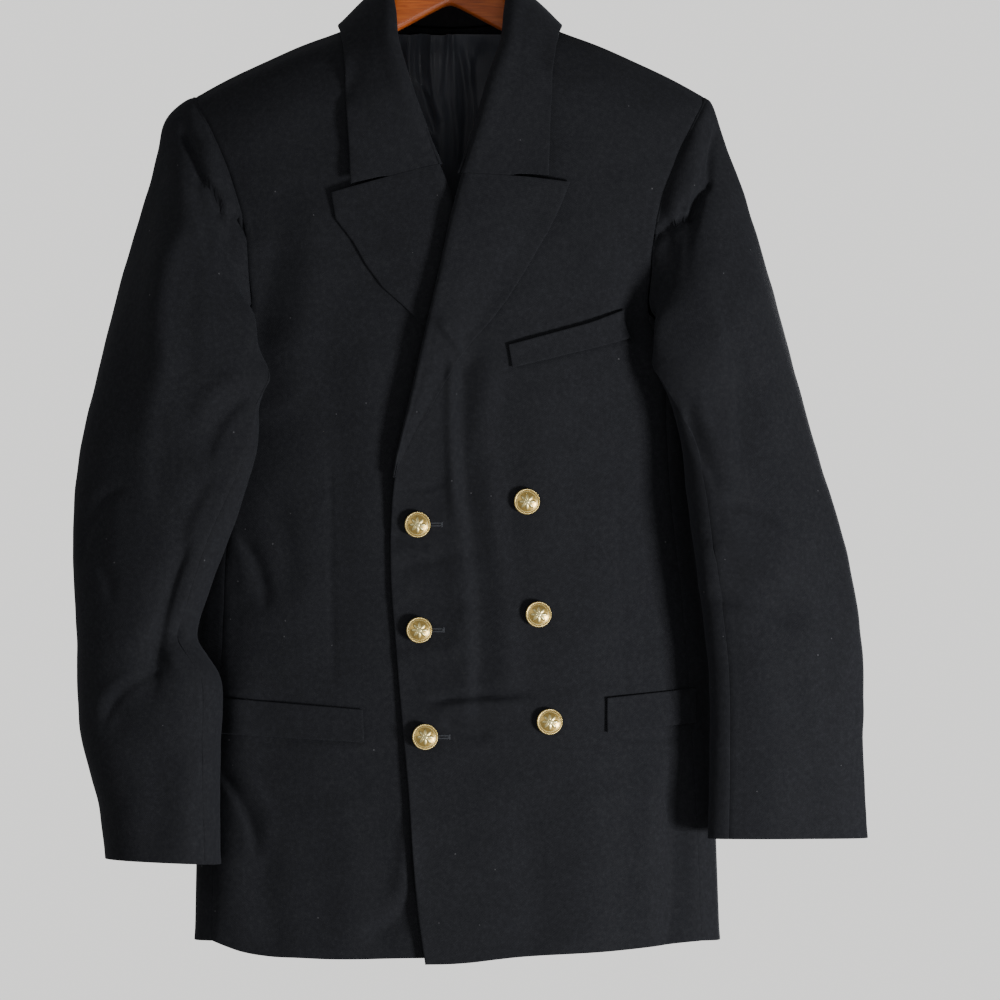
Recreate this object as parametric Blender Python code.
"""A double-breasted blazer hanging on a wooden hanger.

Sizes are in millimetres and turn into metres where each mesh is made. +Z is up and -Y is the front.
The wearer's left side is at +X. The origin is the inside top of the hook, where a rod carries it.
A height is given as its drop below the origin, so z is minus the drop.
"""
import math
from collections import namedtuple

import bmesh
import bpy
import numpy as np

MM = 0.001
FRONT = -1
BACK = 1
LEFT = 1
RIGHT = -1

# Cloth and its seams
WALL = 2.0
THIN_WALL = 1.8
SLEEVE_WALL = 1.4
LINING_WALL = 1.0
SEAM_GAP = 0.36
REST_GAP = 0.8

# The body is a row of rounded sections that a shoulder line closes at the top
Section = namedtuple("Section", "drop centre half_width front back")
SECTIONS = (
    Section(130, 0, 238, 50, 48),
    Section(220, 0, 238, 52, 50),
    Section(330, 0, 226, 58, 52),
    Section(430, 0, 222, 56, 52),
    Section(560, 1, 211, 49, 46),
    Section(700, 4, 217, 48, 48),
    Section(800, 5, 223, 49, 50),
    Section(965, 6.5, 228.5, 51, 52),
)
SECTION_POWER = 2.5
SHOULDER_ROUND = 70.0

ShoulderPoint = namedtuple("ShoulderPoint", "x drop")
SHOULDER = (
    ShoulderPoint(0, 118),
    ShoulderPoint(40, 127),
    ShoulderPoint(68, 139.5),
    ShoulderPoint(95, 151),
    ShoulderPoint(130, 164),
    ShoulderPoint(164, 179),
    ShoulderPoint(199, 196),
    ShoulderPoint(222, 209.5),
    ShoulderPoint(236, 219),
)
NECK_X = 68.0
SHOULDER_X = 222.0
BACK_NECK_DROP = 147.0

# The armhole seam, from the shoulder down to the bottom of the armhole, seen from the front
SeamPoint = namedtuple("SeamPoint", "x drop")
FRONT_ARMHOLE = (
    SeamPoint(222, 209.5),
    SeamPoint(216, 222),
    SeamPoint(207, 238),
    SeamPoint(198, 259),
    SeamPoint(190, 276),
    SeamPoint(182, 304),
    SeamPoint(176, 331),
    SeamPoint(175, 355),
    SeamPoint(179, 380),
    SeamPoint(189, 402),
    SeamPoint(204, 416),
    SeamPoint(222, 424),
)
BACK_ARMHOLE = (
    SeamPoint(222, 209.5),
    SeamPoint(217, 221),
    SeamPoint(209, 238),
    SeamPoint(197, 266),
    SeamPoint(187, 296),
    SeamPoint(182, 331),
    SeamPoint(183, 362),
    SeamPoint(190, 390),
    SeamPoint(204, 413),
    SeamPoint(222, 424),
)
ARMHOLE_STEPS = (0, 0.035, 0.09, 0.17, 0.27, 0.38, 0.49, 0.60, 0.71, 0.81, 0.90, 1.0)
SIDE_SEAM_STEP = 9
SIDE_SEAM_REACH = 0.93
LOWER_STEPS = (0, 0.085, 0.17, 0.253, 0.33, 0.41, 0.50, 0.58, 0.67, 0.75, 0.84, 0.92, 1.0)
SHOULDER_COLUMNS = 12
NECK_COLUMNS = 3

# Front edges: the roll line from the neck to the break, then the edge down to the hem
EdgePoint = namedtuple("EdgePoint", "x drop")
LEFT_EDGE = (
    EdgePoint(68, 139.5),
    EdgePoint(52, 168),
    EdgePoint(39, 196),
    EdgePoint(26, 240),
    EdgePoint(12, 281),
    EdgePoint(-8.5, 368),
    EdgePoint(-32, 471),
    EdgePoint(-47.5, 541),
    EdgePoint(-51, 594),
    EdgePoint(-45, 701),
    EdgePoint(-35.5, 809),
    EdgePoint(-27.5, 912),
    EdgePoint(-21, 958),
)
RIGHT_EDGE = (
    EdgePoint(-68, 139.5),
    EdgePoint(-52, 168),
    EdgePoint(-41, 196),
    EdgePoint(-25, 240),
    EdgePoint(-11.5, 268),
    EdgePoint(26, 368),
    EdgePoint(61, 471),
    EdgePoint(85.5, 541),
    EdgePoint(87, 594),
    EdgePoint(90, 701),
    EdgePoint(93, 809),
    EdgePoint(97, 912),
    EdgePoint(98, 952),
)
BREAK_DROP = 541.0
LEFT_HEM = (
    EdgePoint(-21, 958),
    EdgePoint(4, 958),
    EdgePoint(56, 953.5),
    EdgePoint(143, 950),
    EdgePoint(212, 944),
)
RIGHT_HEM = (
    EdgePoint(98, 952),
    EdgePoint(-30, 954),
    EdgePoint(-117, 955.5),
    EdgePoint(-186, 949),
    EdgePoint(-205, 942),
)
SIDE_HEM_DROP = 939.0
BACK_HEM_DROP = 941.0

# The left front lies over the right one and stands a little proud along its edge
OVERLAP_LIFT = 6.4
OVERLAP_EASE = 80.0
OVERLAP_MARGIN = 9.0
EDGE_STAND = 4.0
EDGE_STAND_REACH = 26.0
HEM_STAND = 3.0

# The largest folds of the fronts: a line on the front, how wide, how far it stands out
Fold = namedtuple("Fold", "x0 drop0 x1 drop1 width rise")
BODY_FOLDS = (
    Fold(13, 470, 22, 720, 17, 3.2),
    Fold(38, 470, 46, 640, 17, -1.8),
    Fold(-178, 600, -160, 656, 13, -3.0),
    Fold(-195, 800, -166, 862, 15, -3.2),
    Fold(-186, 690, -196, 930, 16, 3.0),
    Fold(192, 800, 188, 950, 15, -3.0),
    Fold(-104, 420, -101, 700, 10, -1.6),
    Fold(144, 540, 151, 705, 10, -1.6),
)

# Lapels: the outer edge seen from the front, from the peak to the break
LEFT_LAPEL_TOP = (
    EdgePoint(9.5, 277.5),
    EdgePoint(60.5, 279.8),
    EdgePoint(103.5, 284.5),
)
LEFT_LAPEL_EDGE = (
    EdgePoint(103.5, 284.5),
    EdgePoint(91, 315),
    EdgePoint(73.5, 346),
    EdgePoint(43.5, 393.5),
    EdgePoint(10.5, 432.5),
    EdgePoint(-17, 480),
    EdgePoint(-36, 514),
    EdgePoint(-43.5, 538),
)
RIGHT_LAPEL_TOP = (
    EdgePoint(-8.5, 268.8),
    EdgePoint(-58, 281.6),
    EdgePoint(-102, 293.5),
)
RIGHT_LAPEL_EDGE = (
    EdgePoint(-102, 293.5),
    EdgePoint(-101, 311.5),
    EdgePoint(-90.5, 324.5),
    EdgePoint(-60.5, 372),
    EdgePoint(-32, 398),
    EdgePoint(0, 434),
    EdgePoint(45, 486),
    EdgePoint(81.5, 538),
)
LAPEL_ROWS = 14
LAPEL_STEPS = (0.16, 0.36, 0.60, 0.82, 1.0)
LAPEL_BELLY = 2.6
LAPEL_BELLY_END = 350.0
ROLL_OUT = 2.7

# Collar: where it folds, where its stand is sewn on and where its outer edge lies
CollarStation = namedtuple(
    "CollarStation",
    "fold_x fold_y fold_drop base_x base_y base_drop edge_x edge_y edge_drop",
)
COLLAR_BACK = (
    CollarStation(0, 40, 110.5, 0, 38, 145.5, 0, 50, 162),
    CollarStation(25, 36, 110.5, 27, 35, 144.5, 36, 47, 161),
    CollarStation(44, 22, 111, 52, 22, 140.5, 74, 33, 158),
    CollarStation(53, 3, 113, 66, 2, 136.5, 95, 4, 147.5),
    CollarStation(51, -18, 121, 61, -16, 141, 94, -20, 154),
    CollarStation(48.5, -34, 137, 54, -29, 153, 91.5, -33, 168),
)
COLLAR_LEFT_FRONT = (
    CollarStation(46, -48, 162, 46, -41, 168, 88.5, -44, 188),
    CollarStation(35, -57, 194, 34, -50, 197, 86.8, -54, 219),
    CollarStation(22, -61, 238, 21, -54, 240, 85.8, -58, 250),
    CollarStation(9, -66, 276, 8, -58, 277, 84.8, -59, 278.5),
)
COLLAR_RIGHT_FRONT = (
    CollarStation(46, -48, 162, 46, -41, 168, 90, -44, 188),
    CollarStation(37, -57, 194, 36, -50, 197, 88.5, -54, 221),
    CollarStation(21.5, -61, 236, 20.5, -54, 238, 86.5, -58, 254),
    CollarStation(8.5, -62, 267, 7.5, -56, 268, 84.8, -60, 286),
)
COLLAR_PIECES = 2
COLLAR_FOLD = 3.2
COLLAR_LIFT = 2.9

# Sleeves: rings from the armhole to the cuff. The out point is the outer side, the in point the
# inner one. Lean draws the middle of a ring towards the body and tuck draws in its lower front.
# Armhole says how much of the armhole's own outline a ring still has.
Ring = namedtuple("Ring", "out_x out_y out_drop in_x in_y in_drop front back lean tuck armhole")
LEFT_SLEEVE = (
    Ring(227, 0, 214.5, 226, 0, 434, 50, 45, 43, 0, 0.95),
    Ring(238.5, 0, 247, 228, -4, 447, 58, 51, 36, 12, 0.75),
    Ring(254, -2, 290, 226, -16, 459, 62, 54, 28, 54, 0.45),
    Ring(275, -5, 360, 212, -33, 469, 60, 54, 8, 50, 0.15),
    Ring(301, -8, 455, 188, -47, 480, 48, 50, 0, 12, 0),
    Ring(317, -12, 515, 196, -53, 515, 44, 46, 0, 0, 0),
    Ring(340, -22, 590, 208.5, -55, 590, 40, 38, 0, 0, 0),
    Ring(351, -29, 645, 216, -55, 645, 36, 34, 0, 0, 0),
    Ring(357.5, -34, 705, 222.5, -54, 705, 31, 29, 0, 0, 0),
    Ring(356.5, -38, 770, 224, -53, 770, 27, 25, 0, 0, 0),
    Ring(360, -40, 849.5, 222.5, -52, 849.5, 22, 21, 0, 0, 0),
)
RIGHT_SLEEVE = (
    Ring(229, 0, 213.5, 226, 0, 434, 50, 45, 43, 0, 0.95),
    Ring(246, 0, 236, 228, -4, 447, 58, 51, 38, 30, 0.75),
    Ring(261, -2, 284, 225, -16, 459, 61, 54, 30, 68, 0.45),
    Ring(282, -6, 356, 211, -34, 469, 58, 54, 12, 80, 0.15),
    Ring(307, -12, 455, 184, -48, 482, 47, 47, 0, 36, 0),
    Ring(320, -18, 515, 172, -56, 520, 38, 42, 0, 18, 0),
    Ring(326, -26, 590, 189, -56, 590, 36, 36, 0, 0, 0),
    Ring(323.5, -32, 650, 211, -54, 648, 40, 38, 0, 0, 0),
    Ring(322, -35, 675, 217.5, -53, 676, 42, 40, 0, 0, 0),
    Ring(321.5, -38, 715, 198, -56, 708, 41, 40, 0, 0, 0),
    Ring(317, -42, 766, 197, -57, 770, 40, 38, 0, 0, 0),
    Ring(304, -44, 815, 197.5, -57, 820, 40, 38, 0, 0, 0),
    Ring(297, -45, 867, 197, -57, 871, 39, 38, 0, 0, 0),
)
RING_POWER = 2.3
SLEEVE_CLEAR = 5.6
CAP_STEPS = 2
ARM_STEPS = 2
POINT_PASSES = 8
NORMAL_PASSES = 6
EVEN_PLACE = 13.5
EVEN_REACH = 4.0
EVEN_LENGTH = 150.0
UNDER_FROM = 9
UNDER_TO = 18
CapFold = namedtuple("CapFold", "x drop")
CAP_FOLD = (CapFold(228, 245), CapFold(220, 275), CapFold(209, 306), CapFold(193, 330), CapFold(178, 336))
CAP_FOLD_WIDTH = 11.0
CAP_FOLD_DEPTH = 6.5
LEFT_SLEEVE_FOLDS = (
    Fold(250, 430, 262, 560, 16, -2.5),
    Fold(300, 560, 262, 650, 16, 2.5),
    Fold(232, 610, 300, 660, 14, -3.0),
)
RIGHT_SLEEVE_FOLDS = (
    Fold(236, 330, 252, 500, 22, 4.0),
    Fold(232, 614, 254, 714, 13, -5.0),
    Fold(256, 714, 292, 745, 12, -4.0),
    Fold(214, 676, 262, 690, 13, -5.0),
    Fold(290, 560, 312, 600, 13, -4.0),
)

# Pockets: the four corners seen from the front, top row first
PocketCorners = namedtuple("PocketCorners", "top_in top_out low_in low_out columns rows")
BREAST_WELT = PocketCorners((50.2, 424), (161.8, 393.8), (53.6, 443.8), (161.8, 418), 7, 1)
LEFT_FLAP = PocketCorners((135, 728.5), (211, 720.5), (135, 758.5), (211, 750.5), 6, 2)
RIGHT_FLAP = PocketCorners((-75, 738.5), (-199, 728.5), (-73.5, 767), (-199, 759.5), 8, 2)

# Buttons: where each shank stands on the front
ButtonPlace = namedtuple("ButtonPlace", "name x drop")
BUTTONS = (
    ButtonPlace("button_right_top", -27.5, 579),
    ButtonPlace("button_right_middle", -26, 670),
    ButtonPlace("button_right_low", -21, 762),
    ButtonPlace("button_left_top", 66.5, 559),
    ButtonPlace("button_left_middle", 76, 656.5),
    ButtonPlace("button_left_low", 85.5, 749),
)
BUTTON_SIDES = 14
ProfilePoint = namedtuple("ProfilePoint", "radius height")
BUTTON_PROFILE = (
    ProfilePoint(2.4, 0.5),
    ProfilePoint(2.4, 3.0),
    ProfilePoint(9.6, 3.0),
    ProfilePoint(11.3, 4.2),
    ProfilePoint(11.0, 5.4),
    ProfilePoint(9.8, 5.5),
    ProfilePoint(6.2, 7.4),
)
BUTTON_CROWN = 8.2

# The lining of the upper back, with its pleat a little to the wearer's right of the middle
LINING_HALF_WIDTH = 138.0
LINING_LOW_DROP = 400.0
LINING_COLUMNS = (-1.0, -0.72, -0.48, -0.28, -0.15, -0.10, -0.06, -0.02, 0.04, 0.14, 0.30, 0.50, 0.74, 1.0)
LINING_ROWS = 9
PLEAT_X = -8.0
PLEAT_WIDTH = 6.0
PLEAT_RISE = 3.0

# Hanger: top edge and lower edge of one arm, then the wire hook
ArmPoint = namedtuple("ArmPoint", "x top low")
HANGER_ARM = (
    ArmPoint(0, 88, 128),
    ArmPoint(14, 89.5, 135),
    ArmPoint(30, 96, 143.5),
    ArmPoint(42, 108, 150),
    ArmPoint(52, 127, 155),
    ArmPoint(64, 143.5, 161.5),
    ArmPoint(80, 151, 169.5),
)
HANGER_TIP_X = 206.0
HANGER_COLUMNS = 8
HANGER_HEIGHT = 23.0
HANGER_TIP_HEIGHT = 15.0
HANGER_THICKNESS = 13.0
HANGER_ROUND = 4.6
HANGER_CLEAR = 3.6
HANGER_TIP_CLEAR = 3.0
HOOK_WIRE = 3.5
HOOK_INSIDE = 20.0
HOOK_TIP_ANGLE = -28.0
HOOK_TURN_ANGLE = 218.0
HOOK_ARC_POINTS = 19
HOOK_STEM_TOP = 62.0
HOOK_STEM_POINTS = 4

Paint = namedtuple("Paint", "colour roughness metallic")
PAINTS = {
    "suiting": Paint((0.014, 0.015, 0.021), 0.92, 0.0),
    "lining": Paint((0.012, 0.013, 0.018), 0.38, 0.0),
    "wood": Paint((0.33, 0.07, 0.012), 0.45, 0.0),
    "wire": Paint((0.70, 0.70, 0.72), 0.22, 1.0),
    "gilt": Paint((0.83, 0.60, 0.24), 0.28, 1.0),
}


def smooth_value(knots, values, place):
    """A smooth curve through the values, level past both ends."""
    knots = np.asarray(knots, dtype=float)
    values = np.asarray(values, dtype=float)
    if place <= knots[0]:
        return values[0]
    if place >= knots[-1]:
        return values[-1]
    slopes = np.gradient(values, knots, axis=0)
    low = int(np.searchsorted(knots, place, side="right")) - 1
    span = knots[low + 1] - knots[low]
    t = (place - knots[low]) / span
    rise = values[low + 1] - values[low]
    start = slopes[low] * span
    end = slopes[low + 1] * span
    return values[low] + t * (start + t * (3 * rise - 2 * start - end + t * (start + end - 2 * rise)))


def smooth_step(value):
    value = min(max(value, 0.0), 1.0)
    return value * value * (3.0 - 2.0 * value)


def column(rows, name):
    return [getattr(row, name) for row in rows]


def along(points, steps):
    """Points at fractions of the length of a smooth line through the given ones."""
    points = np.array([tuple(point) for point in points], dtype=float)
    lengths = np.concatenate(([0.0], np.cumsum(np.linalg.norm(np.diff(points, axis=0), axis=1))))
    return [smooth_value(lengths / lengths[-1], points, step) for step in steps]


def edge_x(edge, drop):
    return float(smooth_value(column(edge, "drop"), column(edge, "x"), drop))


def section_at(drop):
    drops = column(SECTIONS, "drop")
    rows = [tuple(row)[1:] for row in SECTIONS]
    return smooth_value(drops, rows, drop)


def shoulder_drop(x):
    return float(smooth_value(column(SHOULDER, "x"), column(SHOULDER, "drop"), abs(x)))


def fold_rise(folds, x, drop):
    """How far the folds of a table move the cloth at this place."""
    total = 0.0
    for fold in folds:
        run = np.array([fold.x1 - fold.x0, fold.drop1 - fold.drop0], dtype=float)
        length = float(np.linalg.norm(run))
        offset = np.array([x - fold.x0, drop - fold.drop0], dtype=float)
        t = float(offset @ run) / length ** 2
        across = float(offset[0] * run[1] - offset[1] * run[0]) / length
        reach = fold.width / length
        fade = smooth_step((t + reach) / (2 * reach)) * smooth_step((1 + reach - t) / (2 * reach))
        total += fold.rise * fade * math.exp(-(across / fold.width) ** 2)
    return total


def section_reach(x, drop):
    """How far out a place lies on its section, from 0 in the middle to 1 at the side."""
    centre, half_width, front, back = section_at(drop)
    return min(abs(x - centre) / half_width, 1.0)


def body_depth(x, drop, face):
    """Depth of the body's surface in front of or behind the plane of the shoulder seams."""
    centre, half_width, front, back = section_at(drop)
    reach = min(abs(x - centre) / half_width, 1.0)
    across = (1.0 - reach ** SECTION_POWER) ** (1.0 / SECTION_POWER)
    under = min(max((drop - shoulder_drop(x)) / SHOULDER_ROUND, 0.0), 1.0)
    rounding = math.sqrt(1.0 - (1.0 - under) ** 2)
    if face == BACK:
        return back * across * rounding
    return front * across * rounding + fold_rise(BODY_FOLDS, x, drop) * rounding * across


def body_normal(x, drop, face):
    """Direction out of the cloth. Front and back share it along the shoulder seam."""
    step = 0.4
    slope_x = (body_depth(x + step, drop, face) - body_depth(x - step, drop, face)) / (2 * step)
    slope_drop = (body_depth(x, drop + step, face) - body_depth(x, drop - step, face)) / (2 * step)
    normal = np.array([-slope_x, face, slope_drop])
    if drop - shoulder_drop(x) < 0.05:
        normal[1] = 0.0
    return normal / np.linalg.norm(normal)


def body_point(x, drop, face, lift=0.0):
    point = np.array([x, face * body_depth(x, drop, face), -drop])
    return point + lift * body_normal(x, drop, face)


def left_lift(x, drop):
    """How far the left front stands off the right one."""
    under_edge = edge_x(RIGHT_EDGE, drop)
    over = 1.0 - smooth_step((x - under_edge - OVERLAP_MARGIN) / OVERLAP_EASE)
    start = smooth_step((drop - 215.0) / 60.0)
    from_edge = max(x - edge_x(LEFT_EDGE, drop), 0.0)
    near_edge = math.exp(-(from_edge / EDGE_STAND_REACH) ** 2)
    stand = EDGE_STAND * smooth_step((drop - 240.0) / 120.0) * (1.0 - smooth_step((drop - 480.0) / 120.0))
    stand += HEM_STAND * smooth_step((drop - 700.0) / 200.0)
    return OVERLAP_LIFT * over * start + stand * near_edge * over


def no_lift(x, drop):
    return 0.0


def side_angle(reach):
    return math.asin(min(reach, 1.0) ** (SECTION_POWER / 2.0))


def side_point(angle, drop, side):
    """A place on the body's side: the angle runs from the front's middle round to the back's."""
    centre, half_width, front, back = section_at(drop)
    across = math.sin(angle) ** (2.0 / SECTION_POWER)
    inward = abs(math.cos(angle)) ** (2.0 / SECTION_POWER)
    depth = -front * inward if angle < math.pi / 2 else back * inward
    point = np.array([centre + side * half_width * across, depth, -drop])
    steep = across ** (SECTION_POWER - 1) / half_width
    facing = math.copysign(inward ** (SECTION_POWER - 1), depth) / (front if depth < 0 else back)
    normal = np.array([side * steep, facing, 0.0])
    return point, normal / np.linalg.norm(normal)


def grid_normals(points, closed=False):
    """Directions out of a grid of points, from each point's neighbours."""
    points = np.asarray(points)
    down = np.gradient(points, axis=0)
    if closed:
        over = np.roll(points, -1, axis=1) - np.roll(points, 1, axis=1)
    else:
        over = np.gradient(points, axis=1)
    normals = np.cross(down, over)
    return normals / np.linalg.norm(normals, axis=2, keepdims=True)


def pull_in(points, first_row=0.0, last_row=0.0, first_column=0.0, last_column=0.0):
    """Draw the named edges of a grid towards its middle, which opens the seams."""
    points = np.array(points, dtype=float)

    def towards(edge, inner, distance):
        run = inner - edge
        return edge + run * distance / np.linalg.norm(run, axis=-1, keepdims=True)

    if first_row:
        points[0] = towards(points[0], points[1], first_row)
    if last_row:
        points[-1] = towards(points[-1], points[-2], last_row)
    if first_column:
        points[:, 0] = towards(points[:, 0], points[:, 1], first_column)
    if last_column:
        points[:, -1] = towards(points[:, -1], points[:, -2], last_column)
    return points


def material_for(slot):
    material = bpy.data.materials.get(slot)
    if material is None:
        material = bpy.data.materials.new(slot)
        material.use_nodes = True
        shader = material.node_tree.nodes["Principled BSDF"]
        paint = PAINTS[slot]
        shader.inputs["Base Color"].default_value = (*paint.colour, 1.0)
        shader.inputs["Roughness"].default_value = paint.roughness
        shader.inputs["Metallic"].default_value = paint.metallic
    return material


def make_object(name, vertices, faces, slot, sharp_angle=35.0):
    """A closed mesh object in metres with its faces pointing out."""
    mesh = bpy.data.meshes.new(name)
    mesh.from_pydata([tuple(MM * value for value in vertex) for vertex in vertices], [], faces)
    build = bmesh.new()
    build.from_mesh(mesh)
    bmesh.ops.recalc_face_normals(build, faces=build.faces)
    build.to_mesh(mesh)
    build.free()
    mesh.shade_smooth()
    mesh.set_sharp_from_angle(angle=math.radians(sharp_angle))
    mesh.materials.append(material_for(slot))
    made = bpy.data.objects.new(name, mesh)
    bpy.context.collection.objects.link(made)
    return made


def make_cloth(name, outer, normals, thickness=WALL, slot="suiting"):
    """A wall of cloth from its outer points, as thick as given on the inner side."""
    outer = np.asarray(outer, dtype=float)
    rows, columns, _ = outer.shape
    inner = outer - thickness * np.asarray(normals)
    vertices = [tuple(point) for point in outer.reshape(-1, 3)]
    vertices += [tuple(point) for point in inner.reshape(-1, 3)]
    half = rows * columns

    def corner(row, place):
        return row * columns + place

    faces = []
    for row in range(rows - 1):
        for place in range(columns - 1):
            near, far = corner(row, place), corner(row + 1, place + 1)
            for third in ((near, corner(row, place + 1), far), (near, far, corner(row + 1, place))):
                faces.append(third)
                faces.append(tuple(half + index for index in reversed(third)))
    rim = [corner(0, place) for place in range(columns)]
    rim += [corner(row, columns - 1) for row in range(1, rows)]
    rim += [corner(rows - 1, place) for place in range(columns - 2, -1, -1)]
    rim += [corner(row, 0) for row in range(rows - 2, 0, -1)]
    for place, index in enumerate(rim):
        following = rim[(place + 1) % len(rim)]
        faces.append((following, index, half + index, half + following))
    return make_object(name, vertices, faces, slot)


def armhole_line(face):
    table = FRONT_ARMHOLE if face == FRONT else BACK_ARMHOLE
    return along(table, ARMHOLE_STEPS)


def side_seam(face, side, step):
    """The seam between a front or back and the side panel, as x and drop."""
    start = armhole_line(face)[SIDE_SEAM_STEP]
    hem = SIDE_HEM_DROP if face == FRONT else BACK_HEM_DROP - 1.5
    drop = start[1] + (hem - start[1]) * step
    first = section_reach(start[0], start[1])
    reach = first + (SIDE_SEAM_REACH - first) * smooth_step(step * 2.2)
    centre, half_width, front, back = section_at(drop)
    return np.array([centre + side * half_width * reach, drop])


def outer_line(face, side):
    """Armhole, then side seam, as rows of x and drop from the shoulder to the hem."""
    line = [np.array([side * x, drop]) for x, drop in armhole_line(face)[: SIDE_SEAM_STEP + 1]]
    return line + [side_seam(face, side, step) for step in LOWER_STEPS[1:]]


def front_edge_line(edge, rows_above):
    """Points of a front's inner edge, one for each row of the panel."""
    top, low = edge[0].drop, edge[-1].drop
    armhole = armhole_line(FRONT)
    first, last = armhole[0][1], armhole[SIDE_SEAM_STEP][1]
    level = BREAK_DROP - (low - BREAK_DROP) * LOWER_STEPS[3] / (1.0 - LOWER_STEPS[3])
    drops = [top + (level - top) * (armhole[row][1] - first) / (last - first) for row in range(rows_above)]
    drops += [level + (low - level) * step for step in LOWER_STEPS[1:]]
    return [np.array([edge_x(edge, drop), drop]) for drop in drops]


def patch(inner, outer, top, low):
    """Fill four border lines with rows of points in the plane of the front view."""
    rows, columns = len(inner), len(top)
    grid = np.zeros((rows, columns, 2))
    for row in range(rows):
        for place in range(columns):
            u = place / (columns - 1)
            v = (inner[row][1] - inner[0][1]) / (inner[-1][1] - inner[0][1])
            sides = (1 - u) * inner[row] + u * outer[row]
            ends = (1 - v) * top[place] + v * low[place]
            corners = (1 - v) * ((1 - u) * top[0] + u * top[-1]) + v * ((1 - u) * low[0] + u * low[-1])
            grid[row, place] = sides + ends - corners
    return grid


def shoulder_places(side, columns):
    xs = np.linspace(NECK_X, SHOULDER_X, columns + 1)
    return [np.array([side * x, shoulder_drop(x)]) for x in xs]


def hem_places(table, inner, outer, columns):
    """The hem between a panel's two lower corners, bent as its table says."""
    xs = column(table, "x")
    drops = column(table, "drop")
    if xs[0] > xs[-1]:
        xs, drops = xs[::-1], drops[::-1]
    start = smooth_value(xs, drops, inner[0]) - inner[1]
    end = smooth_value(xs, drops, outer[0]) - outer[1]
    places = []
    for u in np.linspace(0, 1, columns + 1):
        x = inner[0] + (outer[0] - inner[0]) * u
        drop = smooth_value(xs, drops, x) - (1 - u) * start - u * end
        places.append(np.array([x, drop]))
    return places


def panel_surface(grid, face, lift_at=no_lift):
    points = np.zeros((*grid.shape[:2], 3))
    normals = np.zeros_like(points)
    for row in range(grid.shape[0]):
        for place in range(grid.shape[1]):
            x, drop = grid[row, place]
            normals[row, place] = body_normal(x, drop, face)
            points[row, place] = body_point(x, drop, face, lift_at(x, drop))
    return points, normals


def make_fronts():
    fronts = (
        ("left_front", LEFT, LEFT_EDGE, LEFT_HEM, left_lift),
        ("right_front", RIGHT, RIGHT_EDGE, RIGHT_HEM, no_lift),
    )
    for name, side, edge, hem, lift_at in fronts:
        outer = outer_line(FRONT, side)
        inner = front_edge_line(edge, SIDE_SEAM_STEP + 1)
        top = shoulder_places(side, SHOULDER_COLUMNS)
        low = hem_places(hem, inner[-1], outer[-1], SHOULDER_COLUMNS)
        grid = patch(inner, outer, top, low)
        points, normals = panel_surface(grid, FRONT, lift_at)
        points = pull_in(points, first_row=SEAM_GAP / 2, last_column=SEAM_GAP / 2)
        make_cloth(name, points, normals)


def back_neck_places(side):
    places = []
    for x in np.linspace(0, NECK_X, NECK_COLUMNS + 1)[:-1]:
        sink = (x / NECK_X) ** 2
        drop = BACK_NECK_DROP + (shoulder_drop(NECK_X) - BACK_NECK_DROP) * sink
        places.append(np.array([side * x, drop]))
    return places


def make_backs():
    for name, side in (("back_left", LEFT), ("back_right", RIGHT)):
        outer = outer_line(BACK, side)
        armhole = armhole_line(BACK)
        first, last = armhole[0][1], armhole[SIDE_SEAM_STEP][1]
        top_drop = BACK_NECK_DROP
        join = last - 6.0
        drops = [
            top_drop + (join - top_drop) * (armhole[row][1] - first) / (last - first)
            for row in range(SIDE_SEAM_STEP + 1)
        ]
        drops += [join + (BACK_HEM_DROP - join) * step for step in LOWER_STEPS[1:]]
        inner = [np.array([0.0, drop]) for drop in drops]
        top = back_neck_places(side) + shoulder_places(side, SHOULDER_COLUMNS)
        low = []
        for place in range(len(top)):
            u = place / (len(top) - 1)
            low.append((1 - u) * inner[-1] + u * outer[-1])
        grid = patch(inner, outer, top, low)
        points, normals = panel_surface(grid, BACK)
        points = pull_in(points, first_row=SEAM_GAP / 2, first_column=SEAM_GAP / 2, last_column=SEAM_GAP / 2)
        make_cloth(name, points, normals)


def side_panel(side):
    """The panel under the arm, from the front's side seam round to the back's."""
    front_top = armhole_line(FRONT)[SIDE_SEAM_STEP:]
    back_top = armhole_line(BACK)[SIDE_SEAM_STEP:-1][::-1]
    top = [(place, FRONT) for place in front_top] + [(place, BACK) for place in back_top]
    columns = len(top)
    points = np.zeros((len(LOWER_STEPS), columns, 3))
    normals = np.zeros_like(points)
    for row, step in enumerate(LOWER_STEPS):
        front_x, front_drop = side_seam(FRONT, side, step)
        back_x, back_drop = side_seam(BACK, side, step)
        from_angle = side_angle(section_reach(front_x, front_drop))
        to_angle = math.pi - side_angle(section_reach(back_x, back_drop))
        for place, ((top_x, top_drop), face) in enumerate(top):
            u = place / (columns - 1)
            if place == 0:
                points[row, place] = body_point(front_x, front_drop, FRONT)
                normals[row, place] = body_normal(front_x, front_drop, FRONT)
                continue
            if place == columns - 1:
                points[row, place] = body_point(back_x, back_drop, BACK)
                normals[row, place] = body_normal(back_x, back_drop, BACK)
                continue
            top_angle = side_angle(section_reach(top_x, top_drop))
            if face == BACK:
                top_angle = math.pi - top_angle
            if place == columns // 2:
                top_angle = math.pi / 2
            even_angle = from_angle + (to_angle - from_angle) * u
            angle = top_angle + (even_angle - top_angle) * smooth_step(step * 3.0)
            hem = SIDE_HEM_DROP + (BACK_HEM_DROP - 1.5 - SIDE_HEM_DROP) * u
            drop = top_drop + (hem - top_drop) * step
            points[row, place], normals[row, place] = side_point(angle, drop, side)
    return points, normals


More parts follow.
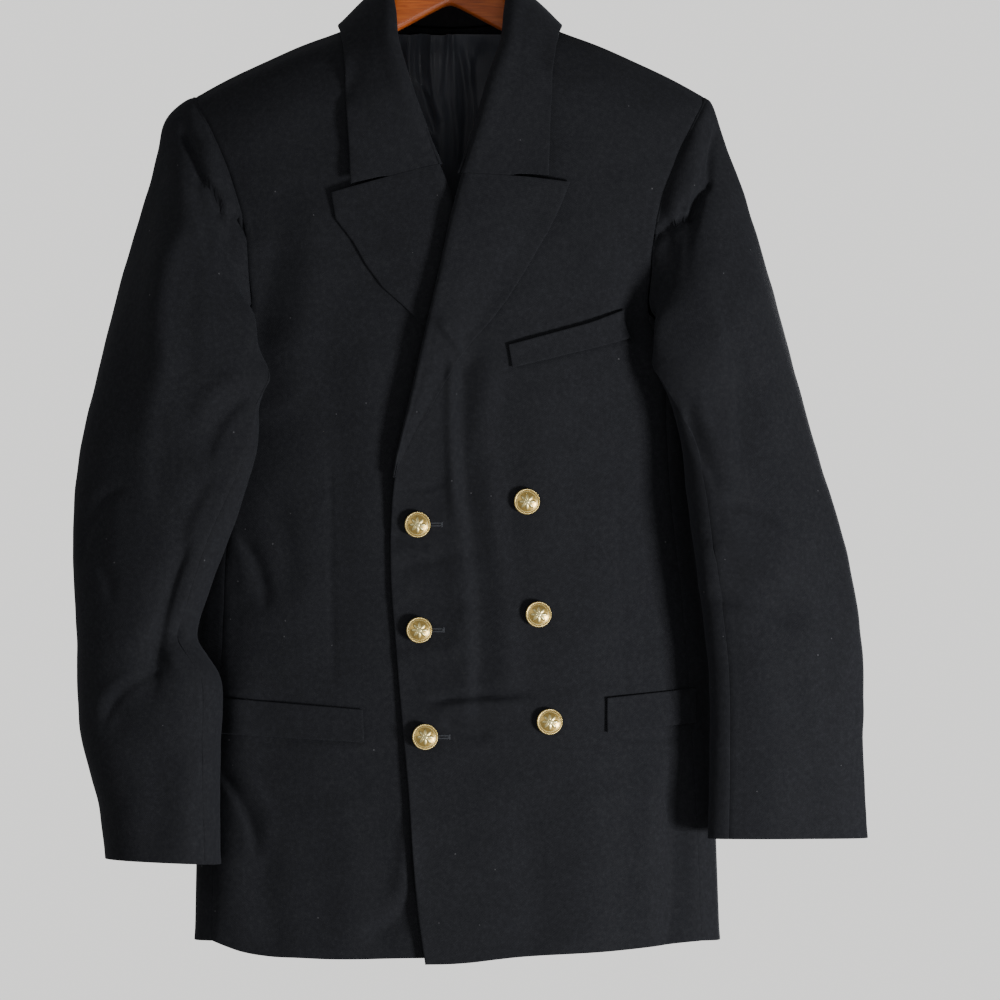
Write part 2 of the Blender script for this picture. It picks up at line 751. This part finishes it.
def make_sides():
    for name, side in (("left_side", LEFT), ("right_side", RIGHT)):
        points, normals = side_panel(side)
        gap = SEAM_GAP / 2
        points = pull_in(points, first_row=gap, first_column=gap, last_column=gap)
        make_cloth(name, points, normals)


def clear_of_body(point, side, clearance):
    """Move a place of the sleeve out until it is clear of the body's panels."""
    drop = -point[2]
    inboard = 1.0
    if drop < FRONT_ARMHOLE[-1].drop:
        face = FRONT if point[1] < 0 else BACK
        inboard = smooth_step((armhole_x(face, drop) + 6.0 - abs(point[0])) / 6.0)
    centre, half_width, front, back = section_at(drop)
    depth = (front if point[1] < 0 else back) + clearance
    across = abs(point[0] - centre) / (half_width + clearance)
    inward = abs(point[1]) / depth
    measure = (across ** SECTION_POWER + inward ** SECTION_POWER) ** (1.0 / SECTION_POWER)
    if measure >= 1.0 or measure < 1e-6:
        return point
    moved = point.copy()
    moved[0] = centre + (point[0] - centre) / measure
    moved[1] = point[1] / measure
    return point + inboard * (moved - point)


def armhole_ring(side):
    """The armhole seam as one closed ring with its directions, from the shoulder by the front."""
    points, normals = [], []
    for x, drop in armhole_line(FRONT)[:-1]:
        points.append(body_point(side * x, drop, FRONT))
        normals.append(body_normal(side * x, drop, FRONT))
    bottom, bottom_normal = side_point(math.pi / 2, FRONT_ARMHOLE[-1].drop, side)
    points.append(bottom)
    normals.append(bottom_normal)
    for x, drop in armhole_line(BACK)[1:-1][::-1]:
        points.append(body_point(side * x, drop, BACK))
        normals.append(body_normal(side * x, drop, BACK))
    return np.array(points), np.array(normals)


def armhole_outboard(points, normals, side):
    """Direction in the body's surface from each armhole point into the open hole."""
    run = np.roll(points, -1, axis=0) - np.roll(points, 1, axis=0)
    outboard = side * np.cross(normals, run)
    return outboard / np.linalg.norm(outboard, axis=1, keepdims=True)


def armhole_x(face, drop):
    table = FRONT_ARMHOLE if face == FRONT else BACK_ARMHOLE
    return float(smooth_value(column(table, "drop"), column(table, "x"), drop))


def armhole_outline():
    """For each armhole point its height from 1 to -1, its share of the depth and of the inset."""
    front, back = armhole_line(FRONT), armhole_line(BACK)[1:-1][::-1]
    half = (front[-1][1] - front[0][1]) / 2
    middle = (front[-1][1] + front[0][1]) / 2
    rows = []
    for line, face in ((front, FRONT), (back, BACK)):
        depths = [body_depth(x, drop, face) for x, drop in line]
        insets = [max(SHOULDER_X - x, 0.0) for x, drop in line]
        for (x, drop), depth, inset in zip(line, depths, insets):
            height = min(max((middle - drop) / half, -1.0), 1.0)
            rows.append((height, face * depth / max(depths), inset / max(insets)))
    return rows


def sleeve_ring(ring, side):
    """One ring of a sleeve, with as many points as the armhole and spaced as they are."""
    out = np.array([side * ring.out_x, ring.out_y, -ring.out_drop])
    inside = np.array([side * ring.in_x, ring.in_y, -ring.in_drop])
    middle, reach = (out + inside) / 2, (out - inside) / 2
    points = []
    for height, armhole_depth, armhole_inset in armhole_outline():
        round_depth = (1.0 - abs(height) ** RING_POWER) ** (1.0 / RING_POWER)
        inset = ring.armhole * armhole_inset + (1 - ring.armhole) * round_depth
        face = FRONT if armhole_depth < 0 else BACK
        depth = ring.armhole * abs(armhole_depth) + (1 - ring.armhole) * round_depth
        depth *= ring.front if face == FRONT else ring.back
        point = middle + reach * height + np.array([0.0, face * depth, 0.0])
        point[0] -= side * ring.lean * inset
        if face == FRONT and height < 0:
            point[0] -= side * ring.tuck * 2 * round_depth * height ** 2
        points.append(point)
    return np.array(points)


def cap_fold_depth(x, drop):
    """The hollow that hangs under the head of the sleeve, seen from the front."""
    line = np.array([tuple(point) for point in CAP_FOLD], dtype=float)
    best = 1e9
    place = np.array([x, drop])
    for start, end in zip(line[:-1], line[1:]):
        run = end - start
        t = min(max(float((place - start) @ run) / float(run @ run), 0.0), 1.0)
        best = min(best, float(np.linalg.norm(place - start - t * run)))
    return CAP_FOLD_DEPTH * math.exp(-(best / CAP_FOLD_WIDTH) ** 2)


def even_out(rows, passes):
    """Draw each value of closed rings towards its neighbours. The first and last ring stay."""
    rows = np.array(rows)
    for _ in range(passes):
        around = (np.roll(rows, 1, axis=1) + np.roll(rows, -1, axis=1)) / 2
        above_below = (rows[:-2] + rows[2:]) / 2
        rows[1:-1] = (2 * rows[1:-1] + around[1:-1] + above_below) / 4
    return rows


def under_share(places, count):
    """How fully each point of a sleeve is evened out: wholly just behind the armpit, else not."""
    down = [1.0 - smooth_step((place - EVEN_LENGTH) / EVEN_LENGTH) for place in places]
    around = [smooth_step(1.5 - abs(number - EVEN_PLACE) / EVEN_REACH) for number in range(count)]
    return np.outer(down, around)[:, :, np.newaxis]


def sleeve_surface(table, folds, side):
    """All rows of a sleeve from the armhole to the cuff, as closed rings."""
    start, start_normals = armhole_ring(side)
    rings = [start] + [sleeve_ring(ring, side) for ring in table]
    lengths = [0.0]
    for upper, lower in zip(rings[:-1], rings[1:]):
        lengths.append(lengths[-1] + float(np.mean(np.linalg.norm(lower - upper, axis=1))))
    places = [0.0]
    for number in range(len(rings) - 1):
        steps = CAP_STEPS if 0 < number < 5 else ARM_STEPS
        if number == 0:
            steps = 1
        for step in range(1, steps + 1):
            places.append(lengths[number] + (lengths[number + 1] - lengths[number]) * step / steps)
    rows = []
    for place in places:
        row = smooth_value(lengths, rings, place)
        if place > 0:
            for index, point in enumerate(row):
                row[index] = clear_of_body(point, side, SLEEVE_CLEAR * min(place / 24.0, 1.0))
        rows.append(row)
    points = np.array(rows)
    normals = -side * grid_normals(points, closed=True)
    front_facing = np.clip(-normals[:, :, 1], 0.0, 1.0)
    for row in range(1, points.shape[0]):
        for index in range(points.shape[1]):
            x, _, z = points[row, index]
            rise = fold_rise(folds, abs(x), -z) - cap_fold_depth(abs(x), -z)
            points[row, index] += normals[row, index] * rise * front_facing[row, index]
    share = under_share(places, points.shape[1])
    points = points + share * (even_out(points, POINT_PASSES) - points)
    for row in range(1, points.shape[0]):
        clearance = SLEEVE_CLEAR * min(places[row] / 24.0, 1.0)
        points[row] = [clear_of_body(point, side, clearance) for point in points[row]]
    outboard = armhole_outboard(start, start_normals, side)
    points[0] += SEAM_GAP * outboard + SEAM_GAP * start_normals
    normals = even_out(-side * grid_normals(points, closed=True), NORMAL_PASSES)
    normals /= np.linalg.norm(normals, axis=2, keepdims=True)
    leaning = np.clip(np.sum(normals[0] * outboard, axis=1, keepdims=True), 0.0, None)
    normals[0] -= leaning * outboard
    normals[0] /= np.linalg.norm(normals[0], axis=1, keepdims=True)
    return points, normals


def make_sleeves():
    sleeves = (
        ("left", LEFT, LEFT_SLEEVE, LEFT_SLEEVE_FOLDS),
        ("right", RIGHT, RIGHT_SLEEVE, RIGHT_SLEEVE_FOLDS),
    )
    for name, side, table, folds in sleeves:
        points, normals = sleeve_surface(table, folds, side)
        count = points.shape[1]
        under = [index for index in range(UNDER_FROM, UNDER_TO + 1)]
        top = [index % count for index in range(UNDER_TO, UNDER_FROM + count + 1)]
        for piece, columns in (("top_sleeve", top), ("under_sleeve", under)):
            gap = SEAM_GAP / 2
            part = pull_in(points[:, columns], first_column=gap, last_column=gap)
            make_cloth(f"{name}_{piece}", part, normals[:, columns], thickness=SLEEVE_WALL)


def lapel_surface(roll, top, edge, lift_at, side):
    """A lapel from the roll line out to its edge, with its rolled inner side."""
    top_steps = (0.0,) + LAPEL_STEPS
    top_line = along(top, top_steps)
    roll_from, roll_to = top[0].drop, edge[-1].drop
    edge_line = along(edge, np.linspace(0, 1, LAPEL_ROWS))
    rows = []
    for row in range(LAPEL_ROWS):
        v = row / (LAPEL_ROWS - 1)
        roll_drop = roll_from + (roll_to - roll_from) * v
        start = np.array([edge_x(roll, roll_drop), roll_drop])
        end = edge_line[row]
        width = float(np.linalg.norm(end - start))
        lift = lift_at(start[0], start[1])
        tuck = start + np.array([-side * ROLL_OUT, 0.0])
        crest = start + np.array([-side * ROLL_OUT * 0.75, 0.0])
        line = [
            body_point(tuck[0], tuck[1], FRONT, lift - 1.2),
            body_point(crest[0], crest[1], FRONT, lift + 2.2),
        ]
        bend = (1 - v) ** 3
        for index, u in enumerate(top_steps[1:]):
            place = (1 - u) * start + u * end
            straight = (1 - u) * np.array(tuple(top[0])) + u * np.array(tuple(top[-1]))
            place = place + bend * (top_line[index + 1] - straight)
            belly = LAPEL_BELLY * math.sin(math.pi * min(u * 1.25, 1.0)) * min(width / 60.0, 1.0)
            if side == RIGHT:
                belly *= 1.0 - smooth_step((place[1] - LAPEL_BELLY_END) / 60.0)
            rest = THIN_WALL + REST_GAP + belly
            line.append(body_point(place[0], place[1], FRONT, lift_at(place[0], place[1]) + rest))
        rows.append(line)
    points = np.array(rows)
    return points, side * grid_normals(points)


def make_lapels():
    lapels = (
        ("left_lapel", LEFT_EDGE, LEFT_LAPEL_TOP, LEFT_LAPEL_EDGE, left_lift, LEFT),
        ("right_lapel", RIGHT_EDGE, RIGHT_LAPEL_TOP, RIGHT_LAPEL_EDGE, no_lift, RIGHT),
    )
    for name, roll, top, edge, lift_at, side in lapels:
        points, normals = lapel_surface(roll, top, edge, lift_at, side)
        make_cloth(name, points, normals, thickness=THIN_WALL)


def keep_off_body(point, lift_at, lift):
    """Move a place of the collar off the shoulder and the panels under it."""
    x, y, z = point
    drop = -z
    face = FRONT if y < 0 else BACK
    over = lift_at(x, drop) if face == FRONT else 0.0
    need = body_depth(x, drop, face) + over + lift - abs(y)
    if drop <= shoulder_drop(x) - lift or need <= 0:
        return point
    centre, half_width, front, back = section_at(drop)
    across = (1.0 - section_reach(x, drop) ** SECTION_POWER) ** (1.0 / SECTION_POWER)
    full = (front if face == FRONT else back) * across
    ratio = min(abs(y) / full, 1.0)
    surface = shoulder_drop(x) + SHOULDER_ROUND * (1.0 - math.sqrt(1.0 - ratio ** 2))
    rise = drop - surface + lift
    moved = np.array(point, dtype=float)
    if rise < need:
        moved[2] += rise
    else:
        moved[1] += face * need
    return moved


def collar_half(stations, side, lift_at):
    """Points of the collar from the middle of the back to one front end."""
    table = np.array([tuple(station) for station in stations], dtype=float)
    steps = np.linspace(0, len(stations) - 1, (len(stations) - 1) * COLLAR_PIECES + 1)
    knots = np.arange(len(stations))
    lines = np.array([smooth_value(knots, table, step) for step in steps])
    lines[:, 0::3] *= side
    fold = lines[:, 0:3] * (1, 1, -1)
    base = lines[:, 3:6] * (1, 1, -1)
    edge = lines[:, 6:9] * (1, 1, -1)
    path = np.gradient(fold, axis=0)
    path /= np.linalg.norm(path, axis=1, keepdims=True)
    crest = fold - edge
    crest /= np.linalg.norm(crest, axis=1, keepdims=True)
    out = side * np.cross(crest, path)
    out /= np.linalg.norm(out, axis=1, keepdims=True)
    inner_fold = fold - COLLAR_FOLD * (out + 0.7 * crest)
    outer_fold = fold + COLLAR_FOLD * (out - 0.7 * crest)
    across = [
        base,
        0.45 * base + 0.55 * inner_fold,
        inner_fold,
        fold + 0.5 * crest,
        outer_fold,
        0.66 * outer_fold + 0.34 * edge + 1.5 * out,
        0.30 * outer_fold + 0.70 * edge + 1.0 * out,
        edge,
    ]
    points = np.stack(across, axis=1)
    for row in range(points.shape[0]):
        for place in range(4, points.shape[1]):
            points[row, place] = keep_off_body(points[row, place], lift_at, COLLAR_LIFT)
    return points


def make_collar():
    left = collar_half(COLLAR_BACK + COLLAR_LEFT_FRONT, LEFT, left_lift)
    right = collar_half(COLLAR_BACK + COLLAR_RIGHT_FRONT, RIGHT, no_lift)
    points = np.concatenate((right[::-1], left[1:]))
    make_cloth("collar", points, -grid_normals(points))


def make_pocket(name, corners, lift_at):
    """A welt or flap that lies on its panel."""
    top = [np.array(corners.top_in, dtype=float), np.array(corners.top_out, dtype=float)]
    low = [np.array(corners.low_in, dtype=float), np.array(corners.low_out, dtype=float)]
    lift = THIN_WALL + REST_GAP

    def lifted(x, drop):
        return lift_at(x, drop) + lift

    grid = np.zeros((corners.rows + 1, corners.columns + 1, 2))
    for row in range(corners.rows + 1):
        v = row / corners.rows
        for place in range(corners.columns + 1):
            u = place / corners.columns
            upper = (1 - u) * top[0] + u * top[1]
            lower = (1 - u) * low[0] + u * low[1]
            grid[row, place] = (1 - v) * upper + v * lower
    points, normals = panel_surface(grid, FRONT, lifted)
    make_cloth(name, points, normals, thickness=THIN_WALL)


def make_pockets():
    make_pocket("breast_welt", BREAST_WELT, left_lift)
    make_pocket("left_pocket_flap", LEFT_FLAP, left_lift)
    make_pocket("right_pocket_flap", RIGHT_FLAP, no_lift)


def make_button(name, x, drop):
    """A domed button on its shank, turned about the direction out of the cloth."""
    foot = body_point(x, drop, FRONT, left_lift(x, drop))
    out = body_normal(x, drop, FRONT)
    across = np.cross(out, (0.0, 0.0, 1.0))
    across /= np.linalg.norm(across)
    up = np.cross(across, out)
    vertices = []
    for point in BUTTON_PROFILE:
        for number in range(BUTTON_SIDES):
            angle = 2 * math.pi * number / BUTTON_SIDES
            around = math.cos(angle) * across + math.sin(angle) * up
            vertices.append(foot + out * point.height + around * point.radius)
    faces = []
    for ring in range(len(BUTTON_PROFILE) - 1):
        for number in range(BUTTON_SIDES):
            following = (number + 1) % BUTTON_SIDES
            low, high = ring * BUTTON_SIDES, (ring + 1) * BUTTON_SIDES
            faces.append((low + number, low + following, high + following, high + number))
    faces.append(tuple(reversed(range(BUTTON_SIDES))))
    crown = len(vertices)
    vertices.append(foot + out * BUTTON_CROWN)
    last = (len(BUTTON_PROFILE) - 1) * BUTTON_SIDES
    for number in range(BUTTON_SIDES):
        faces.append((last + number, last + (number + 1) % BUTTON_SIDES, crown))
    make_object(name, vertices, faces, "gilt", sharp_angle=40.0)


def make_lining():
    """The upper back's lining, a thin wall just inside the back with a pleat down its middle."""
    inset = WALL + REST_GAP
    grid = np.zeros((LINING_ROWS, len(LINING_COLUMNS), 2))
    for place, reach in enumerate(LINING_COLUMNS):
        x = reach * LINING_HALF_WIDTH
        top = max(shoulder_drop(x) + 9.0, BACK_NECK_DROP + 2.0)
        for row in range(LINING_ROWS):
            v = (row / (LINING_ROWS - 1)) ** 1.3
            grid[row, place] = (x, top + (LINING_LOW_DROP - top) * v)

    def inward(x, drop):
        pleat = math.exp(-((x - PLEAT_X) / PLEAT_WIDTH) ** 2)
        return -inset - PLEAT_RISE * pleat

    points, normals = panel_surface(grid, BACK, inward)
    make_cloth("lining_back", points, normals, thickness=LINING_WALL, slot="lining")


def hanger_profile():
    """Top and lower edge of one arm, from the middle to the tip."""
    arm = [tuple(point) for point in HANGER_ARM]
    start = HANGER_ARM[-1].x
    for number in range(1, HANGER_COLUMNS + 1):
        t = number / HANGER_COLUMNS
        x = start + (HANGER_TIP_X - start) * t
        top = shoulder_drop(x) + HANGER_CLEAR + HANGER_TIP_CLEAR * t ** 4
        height = HANGER_HEIGHT + (HANGER_TIP_HEIGHT - HANGER_HEIGHT) * t
        height += 2.5 * math.sin(math.pi * t)
        arm.append((x, top, top + height))
    return arm


def make_hanger():
    """The wooden body, one flat outline with rounded edges."""
    arm = hanger_profile()
    outline = [(x, top) for x, top, low in arm]
    outline += [(x, low) for x, top, low in reversed(arm)]
    outline += [(-x, low) for x, top, low in arm[1:]]
    outline += [(-x, top) for x, top, low in reversed(arm[1:])]
    half = HANGER_THICKNESS / 2
    vertices = [(x, -half, -drop) for x, drop in outline] + [(x, half, -drop) for x, drop in outline]
    count = len(outline)
    faces = []
    arms = len(arm)
    for number in range(count):
        following = (number + 1) % count
        faces.append((number, following, count + following, count + number))
    for number in range(arms - 1):
        right = (number, number + 1, 2 * arms - 2 - number, 2 * arms - 1 - number)
        low = 2 * arms - 1 + number
        high = count - number
        left = (low, low + 1, (high - 1) % count, high % count)
        for quad in (right, left):
            faces.append(quad)
            faces.append(tuple(count + index for index in reversed(quad)))
    made = make_object("hanger_body", vertices, faces, "wood")
    bevel = made.modifiers.new("rounded_edges", "BEVEL")
    bevel.width = HANGER_ROUND * MM
    bevel.segments = 2
    bevel.limit_method = "ANGLE"
    bevel.angle_limit = math.radians(40)


def make_hook():
    """The wire hook: an arc over the rod, then a stem down into the wood."""
    radius = HOOK_INSIDE + HOOK_WIRE / 2
    middle = -HOOK_INSIDE
    route = []
    for angle in np.radians(np.linspace(HOOK_TIP_ANGLE, HOOK_TURN_ANGLE, HOOK_ARC_POINTS)):
        route.append((radius * math.cos(angle), middle + radius * math.sin(angle)))
    turn = math.radians(HOOK_TURN_ANGLE)
    start = np.array(route[-1])
    leave = np.array([-math.sin(turn), math.cos(turn)]) * 26.0
    end = np.array([0.0, -HOOK_STEM_TOP])
    arrive = np.array([0.0, -22.0])
    for t in np.linspace(0, 1, 9)[1:]:
        blend = (2 * t ** 3 - 3 * t ** 2 + 1) * start + (t ** 3 - 2 * t ** 2 + t) * leave
        blend = blend + (3 * t ** 2 - 2 * t ** 3) * end + (t ** 3 - t ** 2) * arrive
        route.append(tuple(blend))
    foot = -HANGER_ARM[0].top + 0.3
    for t in np.linspace(0, 1, HOOK_STEM_POINTS)[1:]:
        route.append((0.0, -HOOK_STEM_TOP + (foot + HOOK_STEM_TOP) * t))
    curve = bpy.data.curves.new("hanger_hook", "CURVE")
    curve.dimensions = "3D"
    curve.bevel_depth = HOOK_WIRE / 2 * MM
    curve.bevel_resolution = 2
    curve.use_fill_caps = True
    spline = curve.splines.new("POLY")
    spline.points.add(len(route) - 1)
    for point, (x, z) in zip(spline.points, route):
        point.co = (x * MM, 0.0, z * MM, 1.0)
    curve.materials.append(material_for("wire"))
    made = bpy.data.objects.new("hanger_hook", curve)
    bpy.context.collection.objects.link(made)


def clear_scene():
    for existing in list(bpy.data.objects):
        bpy.data.objects.remove(existing, do_unlink=True)


clear_scene()
make_fronts()
make_backs()
make_sides()
make_sleeves()
make_lapels()
make_collar()
make_pockets()
for place in BUTTONS:
    make_button(place.name, place.x, place.drop)
make_lining()
make_hanger()
make_hook()
